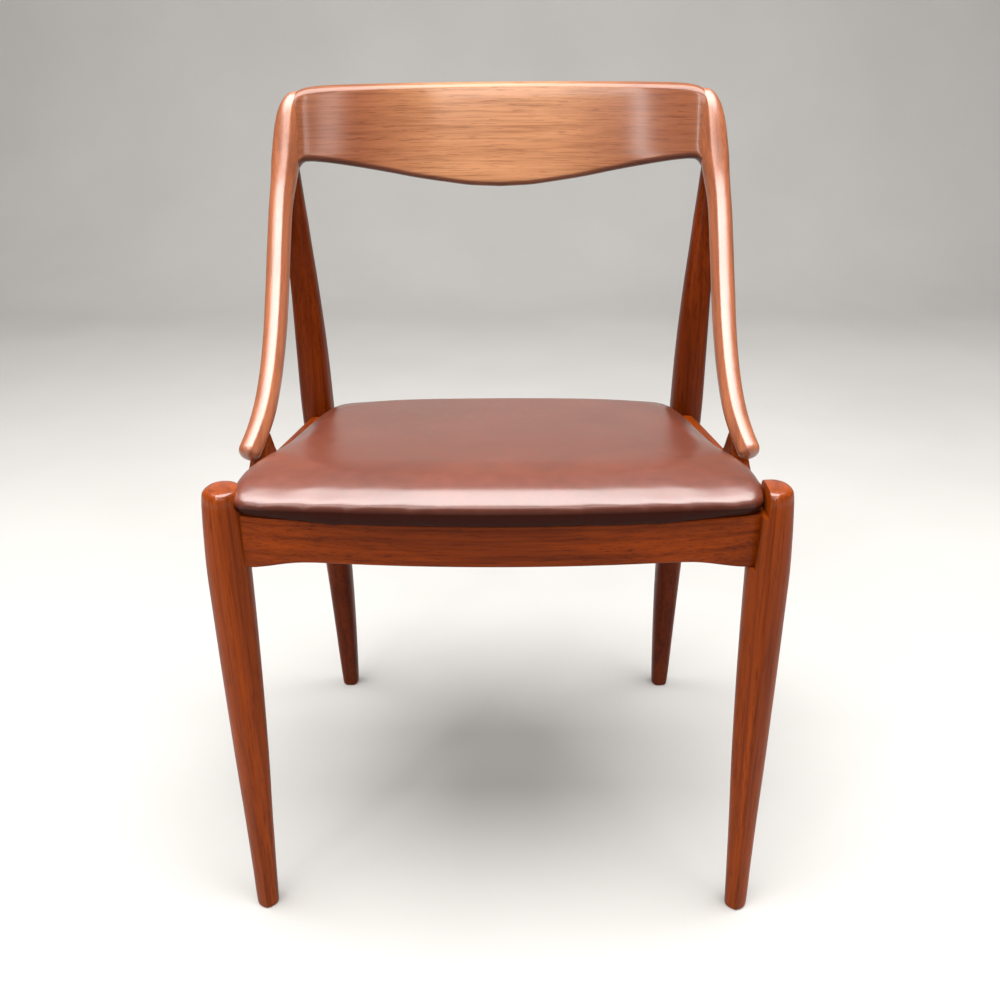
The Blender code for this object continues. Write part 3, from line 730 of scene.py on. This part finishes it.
def backrest(name, material):
    """Bowed, leaning backrest, made from one half and its mirror image."""
    half = smooth_rows(BACKREST, 0.004, 1)
    table = [(-x, b, t, h) for x, b, t, h in half[:0:-1]] + [tuple(row) for row in half]
    rings = []
    for x, bottom, top, half_thick in table:
        share = (x / BACK_JOINT_X) ** 2
        middle_y = BACK_MID_Y + (BACK_END_Y - BACK_MID_Y) * share
        middle_z, half_high = (top + bottom) / 2, (top - bottom) / 2
        outline = rounded_box_section(half_thick, half_high, half_thick * 0.92, arc=8, flats=9)
        rings.append([(x, middle_y + SHIFT_Y + u + BACK_LEAN * v, middle_z + v) for u, v in outline])
    return put(paint(skin(name, rings, SHARP), material), "back_wood", "backrest")


# ---------------------------------------------------------------- seat


def pad_outline(inset, front_inset):
    """The pad's plan as a smooth closed loop, drawn in towards its middle."""
    plan_points = 6
    loop = list(PAD_PLAN) + [(-x, y) for x, y in reversed(PAD_PLAN[1:-1])]
    front, rear = PAD_PLAN[0][1], PAD_PLAN[-1][1]
    middle, half_y, half_x = (front + rear) / 2, (rear - front) / 2, max(x for x, _ in PAD_PLAN)
    curve = closed_curve(loop, plan_points)
    curve[:, 0] *= 1 - inset / half_x
    draw = np.where(curve[:, 1] < middle, front_inset, inset)
    curve[:, 1] = middle + (curve[:, 1] - middle) * (1 - draw / half_y)
    return curve


def share_of(value, low, high):
    """0 at low, 1 at high, smooth between and constant beyond."""
    part = min(max((value - low) / (high - low), 0.0), 1.0)
    return part * part * (3 - 2 * part)


def rail_face(x):
    """Y of the front rail's front face."""
    return RAIL_FACE_END_Y - RAIL_BOW * (1.0 - (x / RAIL_JOINT_X) ** 2)


def pad_height(y, rise):
    """Height of a level of the pad over the floor, flatter to the rear."""
    soft = max(rise - BASE_THICK, 0.0)
    return seat_underside(y) + rise - soft * PAD_THINNING * max(y, 0.0)


def pad_rings():
    """Rings over the whole pad, from the middle of its underside round to the middle of its top."""
    under_inset, crown, crown_side, crown_front = 0.165, 0.0022, 0.125, 0.109
    inner = np.linspace(under_inset, PAD_LEVELS[0][1], PAD_RINGS, endpoint=False)
    levels = [(0.0, inset, inset) for inset in inner] + list(PAD_LEVELS)
    last_rise, last_side, last_front = PAD_LEVELS[-1]
    for share in np.linspace(0.0, 1.0, PAD_RINGS + 1)[1:]:
        levels.append((last_rise + crown * math.sin(math.pi / 2 * share),
                       last_side + crown_side * share, last_front + crown_front * share))
    return [[(x, y + SHIFT_Y, pad_height(y, rise)) for x, y in pad_outline(inset, front_inset)]
            for rise, inset, front_inset in levels]


def simulate_pad(obj):
    """Inflates the cover like stretched upholstery. The underside is held flat on the base."""
    held_rise, even_turns = 0.0045, 30
    scene = bpy.context.scene
    before = np.array([v.co for v in obj.data.vertices])
    held = obj.vertex_groups.new(name="held")
    under = [i for i, (_, y, z) in enumerate(before)
             if z < seat_underside(y - SHIFT_Y) + held_rise]
    held.add(under, 1.0, "REPLACE")
    cloth = obj.modifiers.new("cloth", "CLOTH")
    settings = cloth.settings
    settings.quality = 6
    settings.mass = 0.35
    settings.tension_stiffness = settings.compression_stiffness = settings.shear_stiffness = 18.0
    settings.bending_stiffness = 1.5
    settings.use_pressure = True
    settings.uniform_pressure_force = PRESSURE
    settings.vertex_group_mass = "held"
    settings.effector_weights.gravity = 0.0
    cloth.collision_settings.use_collision = False
    cloth.point_cache.frame_start, cloth.point_cache.frame_end = 1, SIM_FRAMES
    for step in range(1, SIM_FRAMES + 1):
        scene.frame_set(step)
    apply_modifiers(obj)
    scene.frame_set(1)
    after = np.array([v.co for v in obj.data.vertices])
    moved = evened(after - before, obj.data, even_turns)
    length = np.linalg.norm(moved, axis=1)
    cap = np.minimum(1.0, SWELL_CAP / np.maximum(length, 1e-9))
    swollen = before + moved * cap[:, None]
    obj.data.vertices.foreach_set("co", swollen.astype(np.float32).ravel())
    obj.vertex_groups.clear()
    return obj


def evened(values, mesh, turns):
    """Values of the vertices, averaged with their neighbours."""
    ends = np.array([edge.vertices[:] for edge in mesh.edges])
    count = np.bincount(ends.ravel(), minlength=len(values))[:, None]
    for _ in range(turns):
        total = np.zeros_like(values)
        np.add.at(total, ends[:, 0], values[ends[:, 1]])
        np.add.at(total, ends[:, 1], values[ends[:, 0]])
        values = 0.5 * values + 0.5 * total / count
    return values


def relax(obj, turns):
    """Smooths the mesh a little."""
    smooth = obj.modifiers.new("relax", "SMOOTH")
    smooth.factor, smooth.iterations = 0.5, turns
    return apply_modifiers(obj)


def hang_lip(obj):
    """Lets the cover's lower front edge hang before the front rail, less towards its ends."""
    none_ahead, all_ahead, none_x, all_x = -0.0004, 0.0046, 0.212, 0.120
    for vert in obj.data.vertices:
        x, y = vert.co.x, vert.co.y - SHIFT_Y
        low = min(max(1.0 - (vert.co.z - seat_underside(y)) / LIP_HEIGHT, 0.0), 1.0)
        lip = LIP_DROP * share_of(rail_face(x) - y, none_ahead, all_ahead) * low
        vert.co.z -= lip * share_of(abs(x), none_x, all_x)
    return obj


def seat_cushion(material):
    """Seat pad: one closed, inflated skin that stands for the cover and the foam."""
    pad = skin("seat_cushion", pad_rings())
    remesh = pad.modifiers.new("remesh", "REMESH")
    remesh.mode, remesh.voxel_size = "VOXEL", VOXEL
    apply_modifiers(pad)
    simulate_pad(pad)
    relax(pad, 5)
    fine = pad.modifiers.new("fine", "SUBSURF")
    fine.levels = fine.render_levels = 1
    relax(hang_lip(apply_modifiers(pad)), 4)
    for face in pad.data.polygons:
        face.use_smooth = True
    put(paint(pad, material), "seat_leather", "seat_cover", "seat_foam")
    return pad


# ---------------------------------------------------------------- build


# colours of one teak for the front legs, the rails, the rear legs, the arms and the backrest: the
# rails and the rear legs (and the arm stubs) are painted darker as shade, and the arms and the
# backrest are painted lighter as painted light
DEEP = {"dark": (0.065, 0.0085, 0.0006), "light": (0.260, 0.043, 0.0015)}
RAIL = {"dark": (0.050, 0.0060, 0.0004), "light": (0.225, 0.035, 0.0013)}
REAR = {"dark": (0.034, 0.0042, 0.0003), "light": (0.140, 0.020, 0.0012)}
ARMS = {"dark": (0.115, 0.026, 0.0080), "light": (0.330, 0.100, 0.0360)}
BACK = {"dark": (0.220, 0.080, 0.0320), "light": (0.385, 0.180, 0.0860)}


def main_pieces():
    """Legs, arms, rails and backrest, each with its own cut of wood; the teak is painted darker as
    shade on the rails and the rear legs, and lighter as painted light on the arms and the backrest.
    """
    for number, (side_name, side) in enumerate(SIDES):
        s = 0.37 * number
        front_leg("front_leg_" + side_name + "_shape", side,
                  wood("leg_wood_front_" + side_name, "z", (0.11 + s, 0.4, 0.2),
                       worn_top=(0.452, 0.463), **DEEP))
        rear_look = wood("leg_wood_rear_" + side_name, "z", (0.5 + s, 0.9, 0.6), **REAR)
        rear_leg("rear_leg_" + side_name + "_shape", side, rear_look)
        arm("arm_" + side_name + "_shape", side,
            wood("arm_wood_" + side_name, "arm", (0.7 + s, 0.3, 0.1), line=0.25, streak=0.45,
                 gloss=(0.32, 0.92, 0.36, 1.9), **ARMS), rear_look)
        side_rail("side_rail_" + side_name + "_shape", side,
                  wood("rail_wood_" + side_name, "y", (0.2 + s, 0.6, 0.8), **RAIL))
    front_rail("front_rail_shape", wood("rail_wood_front", "x", (0.35, 0.15, 0.75), **RAIL))
    rear_rail("rear_rail_shape", wood("rail_wood_rear", "x", (0.85, 0.45, 0.05), **RAIL))
    bow = (BACK_END_Y - BACK_MID_Y) / BACK_JOINT_X ** 2
    # the backrest gets painted shade at its ends and on its downward faces
    backrest("backrest_shape",
             wood("back_wood_look", "x", (0.55, 0.65, 0.35), line=0.06,
                  gloss=(0.34, 0.6, 0.13, 1.6), bend=bow, ends=(0.06, 0.15, (0.58, 0.42, 0.38)),
                  **BACK))


def dowel(name, side, start, end, material):
    """Dowel with rounded ends between two points. Y is measured from the front legs."""
    start, end = (Vector((side * x, y + SHIFT_Y, z)) for x, y, z in (start, end))
    along = (end - start).normalized()
    across = along.orthogonal().normalized()
    deep = along.cross(across)
    soft, length = DOWEL_SOFT, (end - start).length
    around = [across * math.cos(a) + deep * math.sin(a)
              for a in np.linspace(0.0, 2 * math.pi, 24, endpoint=False)]
    rings = []
    for depth, thin in ((0.0, soft), (soft / 3, soft / 3), (soft, 0.0), (length - soft, 0.0),
                        (length - soft / 3, soft / 3), (length, soft)):
        rings.append([start + along * depth + outwards * (DOWEL_R - thin) for outwards in around])
    return put(paint(skin(name, rings, SHARP), material), "beech_dowel", name.replace("_shape", ""))


def staples(name, loop, drop):
    """Wire staples set round the edge of the dust cover."""
    every, wire, edge = 4, (0.0095, 0.0012, 0.0007, 1), 0.00025
    work = bmesh.new()
    points = [Vector(p) for p in loop]
    for k in range(0, len(points), every):
        here, ahead = points[k], points[(k + 1) % len(points)]
        along = (ahead - here).normalized()
        across = Vector((-along.y, along.x, 0.0)).normalized()
        place = Matrix((along, across, along.cross(across))).transposed().to_4x4()
        place.translation = here - Vector((0.0, 0.0, drop))
        made = bmesh.ops.create_cube(work, size=1.0, matrix=place @ Matrix.Diagonal(wire))
        bmesh.ops.bevel(work, geom=list({e for v in made["verts"] for e in v.link_edges}),
                        offset=edge, segments=2, affect="EDGES")
    return mesh_object(name, work, 40)


def dust_cover(material, wire):
    """Thin cloth stretched over the seat's underside, with a folded hem, held by staples."""
    inset, sag, hem, thick = 0.0195, 0.0012, 0.0007, 0.0004
    levels = [(inset + 0.0001, 0.0), (inset + 0.004, hem), (inset + 0.010, hem),
              (inset + 0.011, 0.0002)]       # (inset, how far below the seat's underside)
    levels += [(inset + 0.011 + 0.02 * k, sag * math.sin(k / 7 * math.pi / 2))
               for k in range(1, 8)]
    rings = []
    for top in (False, True):
        turn = [[(x, y + SHIFT_Y, seat_underside(y) - thick - down + (thick if top else 0.0))
                 for x, y in pad_outline(edge, edge)] for edge, down in levels]
        rings += turn if top else turn[::-1]
    cloth = paint(skin("dust_cover_cloth", rings), material)
    put(cloth, "dust_cloth", "seat_dust_cover")
    turned_in, pin_inset, pin_drop = 0.002, inset + 0.005, 0.0013
    pins = [(x, y + SHIFT_Y, seat_underside(y)) for x, y in pad_outline(pin_inset, pin_inset)]
    wires = put(paint(staples("dust_cover_staples", pins, pin_drop), wire), "steel")


def seat_base(material):
    """Plywood base, kept clear of the pad's rounded lower edge."""
    levels = ((0.0017, 0.0150), (0.0022, 0.0145), (0.0074, 0.0145), (0.0079, 0.0150))
    rings = [[(x, y + SHIFT_Y, seat_underside(y) + rise) for x, y in pad_outline(inset, inset)]
             for rise, inset in levels]
    return put(paint(skin("seat_base_shape", rings, SHARP), material), "plywood", "seat_base")


def hidden_nodes():
    """Materials of the CAD's dowels, blocks and screws, and the hidden pieces that are made here.

    The arms' and the backrest's dowels are made again to stay inside the shaped wood."""
    steel_look = steel("steel_look")
    dowel_look = plain_wood("dowel_look", "x", (0.1, 0.2, 0.3), (0.60, 0.42, 0.24),
                            (0.42, 0.26, 0.13))
    block_look = plain_wood("block_look", "x", (0.4, 0.2, 0.3), (0.52, 0.34, 0.18),
                            (0.36, 0.21, 0.10))
    base_look = plain_wood("ply_look", "y", (0.6, 0.2, 0.3), (0.50, 0.33, 0.17),
                           (0.33, 0.20, 0.09))
    looks = {"dowel": dowel_look, "corner_block": block_look, "block_screw": steel_look,
             "seat_screw": steel_look}
    for name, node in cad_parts.items():
        for start, look in looks.items():
            if name.startswith(start):
                paint(node, look)
    for side_name, side in SIDES:
        dowel("dowel_arm_" + side_name + "_shape", side, (0.2268, 0.1270, 0.4590),
              (0.2268, 0.1270, 0.4800), dowel_look)
        for end, z in (("lower", 0.7200), ("upper", 0.7500)):
            y = BACK_END_Y + BACK_LEAN * (z - BACK_JOINT_Z)
            dowel("dowel_backrest_" + end + "_" + side_name + "_shape", side,
                  (0.2005, y + 0.0010, z), (0.2190, y, z), dowel_look)
    seat_base(base_look)
    dust_cover(woven("dust_cloth_look", (0.008, 0.008, 0.008), (0.045, 0.044, 0.042)), steel_look)


def camera():
    """Camera at the height, tilt and distance of the view in which the chair was photographed."""
    place = Vector((0.0170, -0.7742 + SHIFT_Y, 0.7964))
    tilt, turn, roll = math.radians(23.832), math.radians(-1.031), math.radians(-0.546)
    ahead = Vector((math.sin(turn) * math.cos(tilt), math.cos(turn) * math.cos(tilt),
                    -math.sin(tilt)))
    level = Vector((math.cos(turn), -math.sin(turn), 0.0))
    up = level.cross(ahead)
    right = level * math.cos(roll) + up * math.sin(roll)
    up = up * math.cos(roll) - level * math.sin(roll)
    data = bpy.data.cameras.new("camera")
    data.sensor_width, data.lens = 36.0, 36.0
    obj = bpy.data.objects.new("camera", data)
    matrix = Matrix((right, up, -ahead)).transposed().to_4x4()
    matrix.translation = place
    obj.matrix_world = matrix
    bpy.context.scene.collection.objects.link(obj)
    bpy.context.scene.camera = obj


# (name, place, target, size, energy, colour)
LIGHTS = (
    ("overhead", (0.0, 0.3, 3.0), (0.0, 0.3, 0.4), (4.4, 4.6), 35.0, (1.0, 0.99, 0.97)),
    ("key", (0.0, -0.43, 2.6), (0.0, -0.25, 0.4), (3.6, 1.7), 185.0, (1.0, 0.99, 0.98)),
    ("front", (-0.4, -2.9, 2.6), (0.0, 0.0, 0.5), (3.0, 1.2), 60.0, (1.0, 0.97, 0.93)),
    ("strip_left", (-1.42, -2.05, 1.6), (0.0, 0.1, 0.72), (0.09, 1.6), 6.5, (1.0, 1.0, 1.0)),
    ("strip_right", (1.58, -2.05, 1.6), (0.0, 0.1, 0.72), (0.05, 1.6), 4.0, (1.0, 1.0, 1.0)),
)


def area_light(name, place, target, size, energy, colour):
    """Rectangular light at a place, turned to face its target."""
    data = bpy.data.lights.new(name, "AREA")
    data.shape, data.size, data.size_y = "RECTANGLE", size[0], size[1]
    data.energy, data.color = energy, colour
    obj = bpy.data.objects.new(name, data)
    obj.location = place
    obj.rotation_euler = (Vector(target) - Vector(place)).to_track_quat("-Z", "Y").to_euler()
    bpy.context.scene.collection.objects.link(obj)


def studio():
    """Pale sweep, an overhead softbox, key and front lights, side strips and a soft fill."""
    front, rear, curve, top, half_width = -4.5, 2.4, 0.9, 4.5, 5.0
    profile = [(front, 0.0), (rear, 0.0)]
    profile += [(rear + curve * math.sin(a), curve - curve * math.cos(a))
                for a in np.linspace(0, math.pi / 2, 12)[1:]]
    profile.append((rear + curve, top))
    work = bmesh.new()
    rows = [[work.verts.new((x, y, z)) for y, z in profile] for x in (-half_width, half_width)]
    for k in range(len(profile) - 1):
        work.faces.new((rows[0][k], rows[1][k], rows[1][k + 1], rows[0][k + 1]))
    floor = mesh_object("studio_floor", work)
    paint(floor, stage_look())
    for light in LIGHTS:
        area_light(*light)
    world = bpy.data.worlds.new("studio_world")
    world.use_nodes = True
    background = world.node_tree.nodes["Background"]
    background.inputs["Color"].default_value = (1.0, 0.98, 0.95, 1.0)
    background.inputs["Strength"].default_value = 0.12
    bpy.context.scene.view_settings.view_transform = "Standard"
    bpy.context.scene.world = world


camera()
main_pieces()
seat_cushion(leather())
hidden_nodes()
studio()
